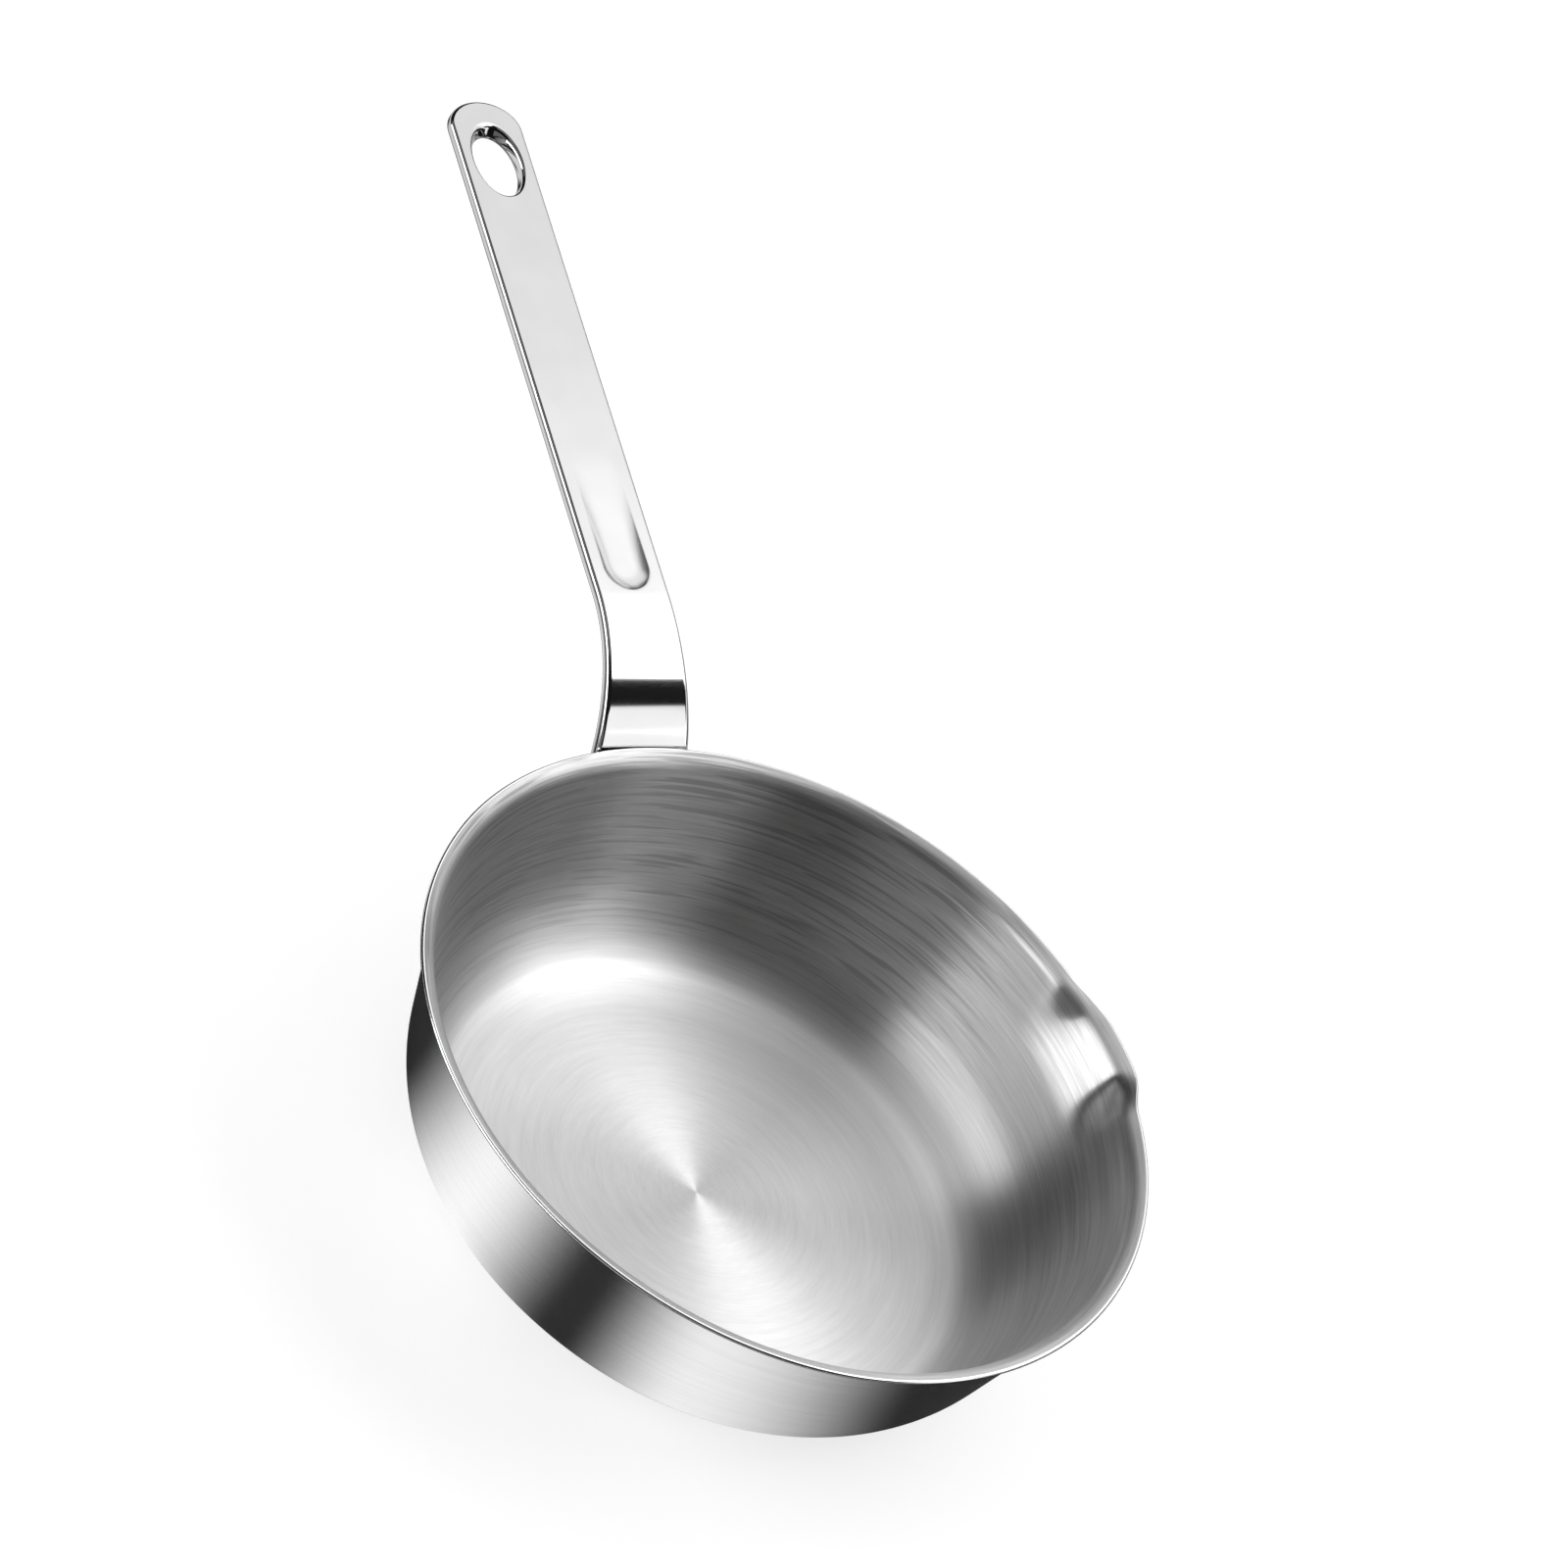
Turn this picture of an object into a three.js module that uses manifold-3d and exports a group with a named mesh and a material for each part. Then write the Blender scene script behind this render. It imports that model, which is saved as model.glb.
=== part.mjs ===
// A small stainless skillet: a drawn pan with a flared lip and a pressed pouring spout, a bonded
// heat-spreading base, and a stamped strip handle spot-welded to the outside of the wall.
// Millimetres, +Z up. The origin is the middle of the face that stands on the hob. The handle runs
// along +X, and the spout faces -Y, on the left of whoever holds the handle.
import * as THREE from 'three';
import { mergeVertices } from 'three/addons/utils/BufferGeometryUtils.js';
import Module from 'manifold-3d';

const degrees = Math.PI / 180;

// Pan, drawn from one sheet
const rimRadius = 80; // outer edge of the lip
const panDepth = 45.5; // inside floor to the top of the lip
const sheet = 1;
const wallFlare = 14 * degrees; // lean of the wall from the vertical
const cornerRadius = 23; // inside, between floor and wall
const lipBend = 2.9; // at the middle of the sheet
const lipSlope = 16 * degrees; // rise of the lip above the horizontal
const lipFlat = 0.8; // straight stretch before the lip's edge

// Pouring spout, pressed outwards into the wall and the lip
const spoutWidth = 42;
const spoutHeight = 16; // below the rim
const spoutReach = 4.4; // outwards, at the rim
const spoutDip = 2; // downwards, at the rim

// Bonded base under the flat floor
const baseInset = 1.5; // from the edge of the flat floor to the cap
const capSheet = 0.6;
const capEdge = 1.8; // outside rounding of the cap's lower edge
const discThickness = 3;
const discClearance = 0.3; // around the disc, inside the cap
const bondLine = 0.1; // between the floor, the disc and the cap

// Handle, stamped from one strip of plate
const plate = 2.8;
const plateEdge = 1; // rounding of its edges
const gripWidth = 17.8;
const gripLength = 121; // from the neck's bend to the tip
const gripSlope = 11.1 * degrees;
const tipLength = 7; // of the rounded tip
const neckBend = 42;
const neckSlope = 57 * degrees; // where the neck passes the lip
const lipClearance = 0.9;
const rootBend = 12;
const rootWidth = 26.4;
const tabLength = 21; // of the root on the wall, from the neck's line
const tabCorner = 6;
const weldGap = 0.3; // between the root and the wall

// Oval hole that the pan hangs by
const holeLength = 17.6;
const holeWidth = 11.6;
const holeEdge = 0.8; // rounding of its edges
const holeSetback = 15.1; // from its middle to the tip
const holeTaper = 0.12; // of its size, lost between the face and the back

// Thumb groove, pressed deepest beside the neck and fading towards the tip
const grooveLength = 36;
const grooveWidth = 11.4;
const grooveDepth = 0.9;
const grooveEdge = 1.2; // rounding along its floor

// Spot welds, seen as dents on the back of the root
const weldWidth = 4.6;
const weldDepth = 0.4;
const weldPitch = 10.5; // between the two rows and the two columns

// Facets
const panFacets = 88;
const panSteps = [1, 8, 6, 4, 1]; // floor, corner, wall, lip bend, lip flat
const edgeSteps = 4; // half round of the lip's edge
const baseFacets = 48;
const roundSteps = 3; // quarter rounds of the plate, the cap, the hole and the groove
const faceSteps = 4; // across the strip
const bendSteps = { tab: 2, root: 3, neck: 10 };
const endSteps = 7; // rounded ends of the strip
const holeFacets = 32;
const grooveFacets = 12; // round the groove's end
const weldFacets = 14;
const roundLead = 0.3; // of a step, before the first facet of a cutter's quarter round
const tipFlat = 0.4; // of a step, left flat at the very tip
const leastEdge = 0.1; // of the edge's rounding, left where the strip ends
const overshoot = 1; // of a cutter past the face that it cuts
const joinDistance = 1e-4; // between vertices that are one

const wasm = await Module();
wasm.setup();
const { lerp, smoothstep } = THREE.MathUtils;

// Bent lines, made of straight runs and arcs
const straight = (length) => ({ length, turn: 0 });
const arc = (radius, turn) => ({ length: radius * Math.abs(turn), turn });
const lengthOf = (moves) => moves.reduce((sum, move) => sum + move.length, 0);

// Where a line has got to, and which way it heads, after a distance along it.
function follow(line, distance) {
  let { x, z, heading } = line.start;
  let left = distance;
  for (const move of line.moves) {
    const run = Math.min(left, move.length);
    const turn = move.length > 0 ? (move.turn * run) / move.length : 0;
    const chord = turn === 0 ? run : (2 * run * Math.sin(turn / 2)) / turn;
    x += chord * Math.cos(heading + turn / 2);
    z += chord * Math.sin(heading + turn / 2);
    heading += turn;
    left -= run;
  }
  return { x, z, heading };
}

// How far a set of moves goes from a heading.
const span = (heading, moves) => follow({ start: { x: 0, z: 0, heading }, moves }, lengthOf(moves));

// A point beside a station, to the left of its heading.
function beside({ x, z, heading }, offset) {
  return new THREE.Vector2(x - offset * Math.sin(heading), z + offset * Math.cos(heading));
}

// Where two lines cross, each given by a point and a heading.
function crossing(a, aHeading, b, bHeading) {
  const away = b.clone().sub(a);
  const across = away.x * Math.sin(bHeading) - away.y * Math.cos(bHeading);
  const run = across / Math.sin(bHeading - aHeading);
  return new THREE.Vector2(a.x + run * Math.cos(aHeading), a.y + run * Math.sin(aHeading));
}

// Points of an arc about a centre, from one angle to another.
function arcPoints(centre, radius, from, to, steps) {
  return Array.from({ length: steps + 1 }, (_, i) => {
    const angle = lerp(from, to, i / steps);
    return new THREE.Vector2(centre.x + radius * Math.cos(angle), centre.y + radius * Math.sin(angle));
  });
}

// A geometry with its shared vertices joined and its empty triangles taken out.
function joinedUp(geometry) {
  const bare = new THREE.BufferGeometry();
  bare.setAttribute('position', geometry.getAttribute('position'));
  bare.setIndex(geometry.getIndex());
  const joined = mergeVertices(bare, joinDistance);
  const corners = joined.getIndex().array;
  const kept = [];
  for (let i = 0; i < corners.length; i += 3) {
    const [a, b, c] = corners.slice(i, i + 3);
    if (a !== b && b !== c && c !== a) {
      kept.push(a, b, c);
    }
  }
  joined.setIndex(kept);
  return joined;
}

// A closed section turned about the vertical axis.
function revolve(outline, facets) {
  return joinedUp(new THREE.LatheGeometry(outline, facets).rotateX(Math.PI / 2));
}

// A closed skin through rings of equal length, with a fan over each end.
function loft(rings) {
  const count = rings[0].length;
  const points = rings.flat();
  const corners = [];
  for (let ring = 0; ring < rings.length - 1; ring += 1) {
    for (let i = 0; i < count; i += 1) {
      const a = ring * count + i;
      const b = ring * count + ((i + 1) % count);
      corners.push(a, b, b + count, a, b + count, a + count);
    }
  }
  const sumOf = (ring) => ring.reduce((sum, point) => sum.add(point), new THREE.Vector3());
  const middle = (ring) => sumOf(ring).divideScalar(count);
  const last = (rings.length - 1) * count;
  points.push(middle(rings[0]), middle(rings[rings.length - 1]));
  for (let i = 0; i < count; i += 1) {
    const next = (i + 1) % count;
    corners.push(points.length - 2, next, i);
    corners.push(points.length - 1, last + i, last + next);
  }
  return new THREE.BufferGeometry().setFromPoints(points).setIndex(corners);
}

function toSolid(geometry) {
  const closed = joinedUp(geometry);
  return new wasm.Manifold(
    new wasm.Mesh({
      numProp: 3,
      vertProperties: new Float32Array(closed.getAttribute('position').array),
      triVerts: new Uint32Array(closed.getIndex().array),
    }),
  );
}

function fromSolid(solid) {
  const { vertProperties, triVerts } = solid.getMesh();
  const geometry = new THREE.BufferGeometry();
  geometry.setAttribute('position', new THREE.BufferAttribute(vertProperties, 3));
  geometry.setIndex(new THREE.BufferAttribute(triVerts, 1));
  return geometry;
}

function piece(name, geometry, look) {
  geometry.computeVertexNormals();
  const mesh = new THREE.Mesh(geometry, new THREE.MeshStandardMaterial({ metalness: 1, ...look }));
  mesh.name = name;
  return mesh;
}

// The middle of the pan's sheet, from the axis to the lip. The pan's underside is at zero height.
const wallHeading = Math.PI / 2 - wallFlare;
const corner = [arc(cornerRadius + sheet / 2, wallHeading)];
const lip = [arc(lipBend, lipSlope - wallHeading), straight(lipFlat)];
const cornerSpan = span(0, corner);
const lipSpan = span(wallHeading, lip);
const wallLength = (panDepth - cornerSpan.z - lipSpan.z) / Math.sin(wallHeading);
const wallReach = wallLength * Math.cos(wallHeading);
const floorRadius = rimRadius - sheet / 2 - lipSpan.x - wallReach - cornerSpan.x;
const toWallTop = [straight(floorRadius), ...corner, straight(wallLength)];
const panLine = { start: { x: 0, z: sheet / 2, heading: 0 }, moves: [...toWallTop, ...lip] };
const wallTop = follow(panLine, lengthOf(toWallTop));
const lipEnd = follow(panLine, lengthOf(panLine.moves));
const rimHeight = sheet + panDepth;

// Distances along the pan's line of the stations that its section is drawn through.
function panStations() {
  const found = [0];
  let passed = 0;
  panLine.moves.forEach((move, i) => {
    for (let step = 1; step <= panSteps[i]; step += 1) {
      found.push(passed + (move.length * step) / panSteps[i]);
    }
    passed += move.length;
  });
  return found.map((distance) => follow(panLine, distance));
}

// Moves the wall outwards and the lip downwards about the middle of the spout.
function pressSpout(geometry) {
  const position = geometry.getAttribute('position');
  const point = new THREE.Vector3();
  for (let i = 0; i < position.count; i += 1) {
    point.fromBufferAttribute(position, i);
    const radius = Math.hypot(point.x, point.y);
    const sideways = Math.abs(Math.atan2(point.x, -point.y)) * rimRadius;
    const across = smoothstep(spoutWidth / 2 - sideways, 0, spoutWidth / 2);
    const upwards = smoothstep(point.z, rimHeight - spoutHeight, rimHeight);
    const push = across * upwards;
    const stretch = radius > 0 ? 1 + (spoutReach * push) / radius : 1;
    const dip = spoutDip * push * upwards;
    position.setXYZ(i, point.x * stretch, point.y * stretch, point.z - dip);
  }
  return geometry;
}

function panBody() {
  const section = panStations();
  const outside = section.map((station) => beside(station, -sheet / 2));
  const inside = section.map((station) => beside(station, sheet / 2)).reverse();
  const [under, over] = [lipEnd.heading - Math.PI / 2, lipEnd.heading + Math.PI / 2];
  const edge = arcPoints(beside(lipEnd, 0), sheet / 2, under, over, edgeSteps);
  return pressSpout(revolve([...outside, ...edge.slice(1, -1), ...inside], panFacets));
}

// Bonded base
const capRadius = floorRadius - baseInset;
const discBottom = capSheet + bondLine;
const discTop = discBottom + discThickness;
const panBottom = discTop + bondLine;

// A quarter round from a flat bottom up to an upright side.
function cupCorner(radius, bottom, rounding) {
  const centre = new THREE.Vector2(radius - rounding, bottom + rounding);
  return arcPoints(centre, rounding, -Math.PI / 2, 0, roundSteps);
}

function baseCap() {
  const outside = cupCorner(capRadius, 0, capEdge);
  const inside = cupCorner(capRadius - capSheet, capSheet, capEdge - capSheet).reverse();
  const top = [new THREE.Vector2(capRadius, discTop), new THREE.Vector2(capRadius - capSheet, discTop)];
  const outline = [new THREE.Vector2(0, 0), ...outside, ...top, ...inside, new THREE.Vector2(0, capSheet)];
  return revolve(outline, baseFacets);
}

function spreaderDisc() {
  const radius = capRadius - capSheet - discClearance;
  const side = cupCorner(radius, discBottom, capEdge - capSheet);
  const top = [new THREE.Vector2(radius, discTop), new THREE.Vector2(0, discTop)];
  return revolve([new THREE.Vector2(0, discBottom), ...side, ...top], baseFacets);
}

// The face of the handle's strip that lies on the wall and becomes the top of the grip. Its root
// follows the wall, and its neck passes just outside the lip's edge.
const tabPoint = beside(wallTop, -(sheet / 2 + weldGap));
const neckPoint = beside({ ...lipEnd, heading: neckSlope }, -(sheet / 2 + lipClearance));
const rootPoint = crossing(tabPoint, wallHeading, neckPoint, neckSlope);
const rootTurn = wallHeading - neckSlope;
const rootTangent = rootBend * Math.tan(rootTurn / 2);
const tabRun = tabLength - rootTangent;
const neckRun = rootPoint.distanceTo(neckPoint) - rootTangent;
const tabStart = {
  x: rootPoint.x - tabLength * Math.cos(wallHeading),
  z: rootPoint.y - tabLength * Math.sin(wallHeading),
  heading: wallHeading,
};
const root = [straight(tabRun), arc(rootBend, -rootTurn)];
const neck = [straight(neckRun), arc(neckBend, gripSlope - neckSlope)];
const handleLine = { start: tabStart, moves: [...root, ...neck, straight(gripLength)] };
const neckStart = lengthOf(root) + neckRun;
const gripStart = lengthOf([...root, ...neck]);
const handleLength = gripStart + gripLength;

// A place in the flat strip: along it, across it and up from its face, carried to where the bends
// put it. The root also curls round the wall, and the neck takes that curl out again.
function bent(along, across, up) {
  const { x, z, heading } = follow(handleLine, along);
  const curl = (Math.sin(wallHeading) / x) * (1 - smoothstep(along, tabRun, neckStart));
  const angle = across * curl;
  const sideways = curl > 0 ? Math.sin(angle) * (1 / curl - up) : across;
  const lift = curl > 0 ? (1 - Math.cos(angle)) / curl + up * Math.cos(angle) : up;
  return new THREE.Vector3(x - lift * Math.sin(heading), sideways, z + lift * Math.cos(heading));
}

// How far a rounding of some radius stands back, at a distance from the edge that it rounds.
function standBack(radius, distance) {
  return radius - Math.sqrt(radius ** 2 - Math.max(radius - distance, 0) ** 2);
}

// Half the strip's width: even along the grip, wider towards the root, rounded at both ends.
function halfWidth(along) {
  const widening = smoothstep(gripStart - along, 0, gripStart);
  const side = lerp(gripWidth, rootWidth, widening) / 2;
  const intoTip = Math.max(along - (handleLength - tipLength), 0) / tipLength;
  return side * Math.sqrt(1 - intoTip ** 2) - standBack(tabCorner, along);
}

// One ring round the strip, with rounded edges.
function stripRing(along) {
  const inset = standBack(plateEdge, Math.min(along, handleLength - along));
  const half = halfWidth(along);
  const rounding = Math.min(Math.max(plateEdge - inset, plateEdge * leastEdge), half / 2);
  const [top, bottom, side] = [-inset - rounding, inset + rounding - plate, half - rounding];
  const quarter = Math.PI / 2;
  const turns = [[side, top, 0], [-side, top, 1], [-side, bottom, 2], [side, bottom, 3]];
  const outline = turns.flatMap(([u, v, turn]) => {
    const centre = new THREE.Vector2(u, v);
    return arcPoints(centre, rounding, turn * quarter, (turn + 1) * quarter, roundSteps);
  });
  const [topEnd, bottomEnd] = [roundSteps, 3 * roundSteps + 2];
  const across = (from, to) => Array.from({ length: faceSteps - 1 }, (_, i) =>
    outline[from].clone().lerp(outline[to], (i + 1) / faceSteps));
  const ring = [
    ...outline.slice(0, topEnd + 1),
    ...across(topEnd, topEnd + 1),
    ...outline.slice(topEnd + 1, bottomEnd + 1),
    ...across(bottomEnd, bottomEnd + 1),
    ...outline.slice(bottomEnd + 1),
  ];
  return ring.map(({ x, y }) => bent(along, x, y));
}

function stripStations() {
  const quarterTurn = (i) => (i / endSteps) * (Math.PI / 2);
  const steps = Array.from({ length: endSteps }, (_, i) => i);
  const between = (from, to, count) =>
    Array.from({ length: count }, (_, i) => lerp(from, to, (i + 1) / count));
  return [
    ...steps.map((i) => tabCorner * (1 - Math.cos(quarterTurn(i)))),
    tabCorner,
    ...between(tabCorner, tabRun, bendSteps.tab),
    ...between(tabRun, lengthOf(root), bendSteps.root),
    neckStart,
    ...between(neckStart, gripStart, bendSteps.neck),
    ...[...steps, endSteps - tipFlat].map((i) => handleLength - tipLength * (1 - Math.sin(quarterTurn(i)))),
  ];
}

// A cutter through rings at rising heights, each an outline in the flat strip.
function cutter(levels) {
  const place = ([along, across, up]) => bent(along, across, up);
  return toSolid(loft(levels.map((outline) => outline.map(place))));
}

// Angles of a quarter round, short of its end, so that the cutter leaves the face at a slant.
const roundAngles = Array.from({ length: roundSteps }, (_, i) => {
  const share = (i + roundLead) / roundSteps;
  return (share * Math.PI) / 2;
});

function holeCutter() {
  const nearEnd = handleLength - holeSetback - holeLength / 2;
  const oval = (grow, up) => Array.from({ length: holeFacets }, (_, i) => {
    const angle = (2 * Math.PI * i) / holeFacets;
    const half = (1 + (holeTaper * up) / plate) / 2;
    const along = nearEnd + holeLength * half + (holeLength * half + grow) * Math.cos(angle);
    return [along, (holeWidth * half + grow) * Math.sin(angle), up];
  });
  const rounding = roundAngles.map((angle) => ({
    grow: holeEdge * (1 - Math.cos(angle)),
    depth: holeEdge * (1 - Math.sin(angle)),
  }));
  const below = rounding.map(({ grow, depth }) => oval(grow, depth - plate)).reverse();
  const above = rounding.map(({ grow, depth }) => oval(grow, -depth));
  const flare = holeEdge + overshoot;
  return cutter([oval(flare, -plate - overshoot), ...below, ...above, oval(flare, overshoot)]);
}

function groovePunch() {
  const reach = grooveWidth / 2;
  const level = (inset, lift) => {
    const half = reach - inset;
    const centre = new THREE.Vector2(reach, 0);
    const end = arcPoints(centre, half, Math.PI / 2, 1.5 * Math.PI, grooveFacets);
    const far = grooveLength + grooveEdge - inset;
    const outline = [new THREE.Vector2(far, -half), new THREE.Vector2(far, half), ...end];
    return outline.map(({ x, y }) => {
      const depth = grooveDepth * (1 - x / grooveLength);
      return [gripStart + x, y, lift - depth];
    });
  };
  const rounding = roundAngles.map((angle) =>
    level(grooveEdge * (1 - Math.sin(angle)), grooveEdge * (1 - Math.cos(angle))));
  const sides = [level(0, grooveEdge), level(0, grooveEdge + grooveDepth)];
  return cutter([level(grooveEdge, 0), ...rounding, ...sides]);
}

function weldCutter(along, across) {
  const disc = (radius, up) => Array.from({ length: weldFacets }, (_, i) => {
    const angle = (2 * Math.PI * i) / weldFacets;
    return [along + radius * Math.cos(angle), across + radius * Math.sin(angle), up];
  });
  const half = weldWidth / 2;
  return cutter([disc(half + overshoot, -plate - overshoot), disc(half - weldDepth, weldDepth - plate)]);
}

function handleStrip() {
  let strip = toSolid(loft(stripStations().map(stripRing)));
  strip = strip.subtract(holeCutter()).subtract(groovePunch());
  for (const row of [-1, 1]) {
    for (const column of [-1, 1]) {
      strip = strip.subtract(weldCutter((tabRun + row * weldPitch) / 2, (column * weldPitch) / 2));
    }
  }
  return fromSolid(strip);
}

// Assembly
const base = new THREE.Group();
base.add(piece('base_cap', baseCap(), { color: 0xbfc1c3, roughness: 0.35 }));
base.add(piece('spreader_disc', spreaderDisc(), { color: 0xb4b7ba, roughness: 0.5 }));

const vessel = new THREE.Group();
vessel.position.z = panBottom;
vessel.add(piece('pan_body', panBody(), { color: 0xc6c7c8, roughness: 0.3 }));
vessel.add(piece('handle', handleStrip(), { color: 0xdcddde, roughness: 0.14 }));

const skillet = new THREE.Group();
skillet.add(base, vessel);

export default skillet;
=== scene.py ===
import math

import bmesh
import bpy
import numpy as np
from mathutils import Matrix, Vector


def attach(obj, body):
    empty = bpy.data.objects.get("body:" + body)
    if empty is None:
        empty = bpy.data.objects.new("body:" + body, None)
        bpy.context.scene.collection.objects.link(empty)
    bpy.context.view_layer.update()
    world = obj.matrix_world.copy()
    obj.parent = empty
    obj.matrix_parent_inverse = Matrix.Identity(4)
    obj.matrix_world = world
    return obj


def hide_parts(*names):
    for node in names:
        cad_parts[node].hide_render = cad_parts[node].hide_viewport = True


# Looks of a small stainless skillet. Metres, +Z up, the handle along +X and the spout facing -Y.
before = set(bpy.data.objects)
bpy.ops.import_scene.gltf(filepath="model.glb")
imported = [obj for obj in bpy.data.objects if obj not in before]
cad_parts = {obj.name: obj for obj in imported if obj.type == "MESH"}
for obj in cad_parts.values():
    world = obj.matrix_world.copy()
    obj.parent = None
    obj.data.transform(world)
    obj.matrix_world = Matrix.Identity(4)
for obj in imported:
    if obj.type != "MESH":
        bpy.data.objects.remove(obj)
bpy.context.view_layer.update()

mm = 0.001
degrees = math.pi / 180
quarter = math.pi / 2

# Pan, drawn from one sheet
rim_radius = 79.96 * mm
pan_depth = 45.46 * mm
sheet = 1 * mm
wall_flare = 14 * degrees
corner_radius = 23 * mm
lip_bend = 2.9 * mm
lip_slope = 16 * degrees
lip_flat = 0.8 * mm

# Pouring spout
spout_width = 38 * mm
spout_flank = 13.5 * mm
spout_height = 17 * mm
spout_crease = 4 * mm
spout_reach = 4.4 * mm
spout_dip = 2 * mm

# Bonded base
base_inset = 1.5 * mm
cap_sheet = 0.6 * mm
cap_edge = 1.8 * mm
disc_thickness = 3 * mm
disc_clearance = 0.3 * mm
bond_line = 0.1 * mm

# Handle, stamped from one strip of plate
plate = 2.8 * mm
plate_edge = 1 * mm
grip_width = 17.8 * mm
grip_length = 120.9 * mm
grip_slope = 11.1 * degrees
tip_length = 7 * mm
neck_bend = 42 * mm
neck_slope = 57 * degrees
lip_clearance = 0.9 * mm
root_bend = 12 * mm
root_width = 26.4 * mm
tab_length = 21 * mm
tab_corner = 6 * mm
weld_gap = 0.3 * mm

# Hanging hole
hole_length = 17.6 * mm
hole_width = 11.6 * mm
hole_edge = 0.8 * mm
hole_setback = 15.1 * mm
hole_taper = 0.12
hole_margin = 8 * mm

# Thumb groove
groove_length = 36 * mm
groove_width = 11.4 * mm
groove_depth = 0.9 * mm
groove_wall = 3.6 * mm
groove_rim = 0.5 * mm
groove_dull_start = (104.5 * mm, 108 * mm)
groove_dull_end = (130 * mm, 146 * mm)
groove_dull_side = (5.4 * mm, 7.2 * mm)
groove_dullness = 3.2

# Spot welds
weld_width = 4.6 * mm
weld_depth = 0.4 * mm
weld_pitch = 10.5 * mm
weld_wall = 0.8 * mm

# Brushed rings: how many to a metre, breaks round the axis, detail and how rough the detail is
inside_fine = (1900, 5.0, 4.0, 0.65)
inside_coarse = (620, 1.2, 2.0, 0.5)
inside_scoring = (900, 3.0, 1.0, 0.4)
coarse_share = 0.4
scoring_share = 0.35
scoring_cut = (0.54, 0.64)
inside_contrast = (0.7, 1.2, -0.2, 0.2)
inside_relief = 0.3
brush_depth = 0.05 * mm

# Scratches along the handle
scratch_spread = (40, 2600, 40)
scratch_relief = 0.004
scratch_depth = 0.02 * mm
cloud_spread = 90.0

# Turn of the brushing's gloss against its lines, in whole turns
across_brushing = 0.25

# Where the finish and the painted light change: heights over the hob, over the floor, below the rim, and
# places along the handle
quiet_floor = (8 * mm, 26 * mm)
quiet_floor_share = 0.25
scored_side = (10 * mm, 45 * mm)
# The floor's colour lifted: partly its finer finish, partly painted highlight.
floor_finish_and_highlight_fade = (1 * mm, 6 * mm)
floor_finish_and_highlight_tone = 1.53
# A painted highlight: a light line at the floor's edge, where it turns into the corner.
floor_edge_start = (0.9 * mm, 1.7 * mm)
floor_edge_end = (2.2 * mm, 3.4 * mm)
floor_edge_highlight = 1.2
# A painted highlight: the band along the lip lighter.
lip_highlight_below = (2 * mm, 0.5 * mm)
lip_highlight = 1.12
lip_finish_below = (3 * mm, 1 * mm)
lip_dullness = 1.25
wall_smoothness = 0.8
# Painted shade: the handle greyer towards its tip.
tip_painted_shade_span = (100 * mm, 225 * mm)
tip_painted_shade_tone = 0.86


def smoothstep(x, low, high):
    t = np.clip((x - low) / (high - low), 0, 1)
    return t * t * (3 - 2 * t)


# Rises in a straight line from zero, after a rounded start.
def soft_ramp(x, rounding):
    start = np.clip(x, 0, rounding)
    return start**2 / (2 * rounding) + np.maximum(x - rounding, 0)


# Bent lines, made of straight runs and arcs
def straight(length):
    return (length, 0.0)


def arc(radius, turn):
    return (radius * abs(turn), turn)


def length_of(moves):
    return sum(length for length, _ in moves)


# Where a line has got to, and which way it heads, after distances along it.
def follow(start, moves, distance):
    left = np.asarray(distance, float)
    x, z, heading = (np.full_like(left, value) for value in start)
    for length, turn in moves:
        run = np.minimum(left, length)
        half = turn * run / length / 2
        chord = run * np.sinc(half / math.pi)
        x = x + chord * np.cos(heading + half)
        z = z + chord * np.sin(heading + half)
        heading = heading + 2 * half
        left = left - run
    return x, z, heading


# Points beside stations, to the left of their heading.
def beside(station, offset):
    x, z, heading = station
    return np.stack([x - offset * np.sin(heading), z + offset * np.cos(heading)], -1)


def crossing(a, a_heading, b, b_heading):
    away = b - a
    across = away[0] * math.sin(b_heading) - away[1] * math.cos(b_heading)
    run = across / math.sin(b_heading - a_heading)
    return a + run * np.array([math.cos(a_heading), math.sin(a_heading)])


def stations(moves, steps):
    found = [0.0]
    for (length, _), count in zip(moves, steps):
        found += list(found[-1] + length * np.arange(1, count + 1) / count)
    return np.array(found)


def arc_points(centre, radius, angles):
    angles = np.asarray(angles)
    return np.stack([centre[0] + radius * np.cos(angles), centre[1] + radius * np.sin(angles)], -1)


# Pieces
def make_piece(name, points, faces, zones, materials, node, slot):
    mesh = bpy.data.meshes.new(name)
    mesh.from_pydata([tuple(p) for p in points], [], faces)
    for material in materials:
        mesh.materials.append(material)
    mesh.polygons.foreach_set("material_index", zones)
    mesh.polygons.foreach_set("use_smooth", [True] * len(faces))
    mesh.validate()
    mesh.update()
    piece = bpy.data.objects.new(name, mesh)
    bpy.context.scene.collection.objects.link(piece)
    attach(piece, "root")
    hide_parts(node)
    return piece


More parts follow.
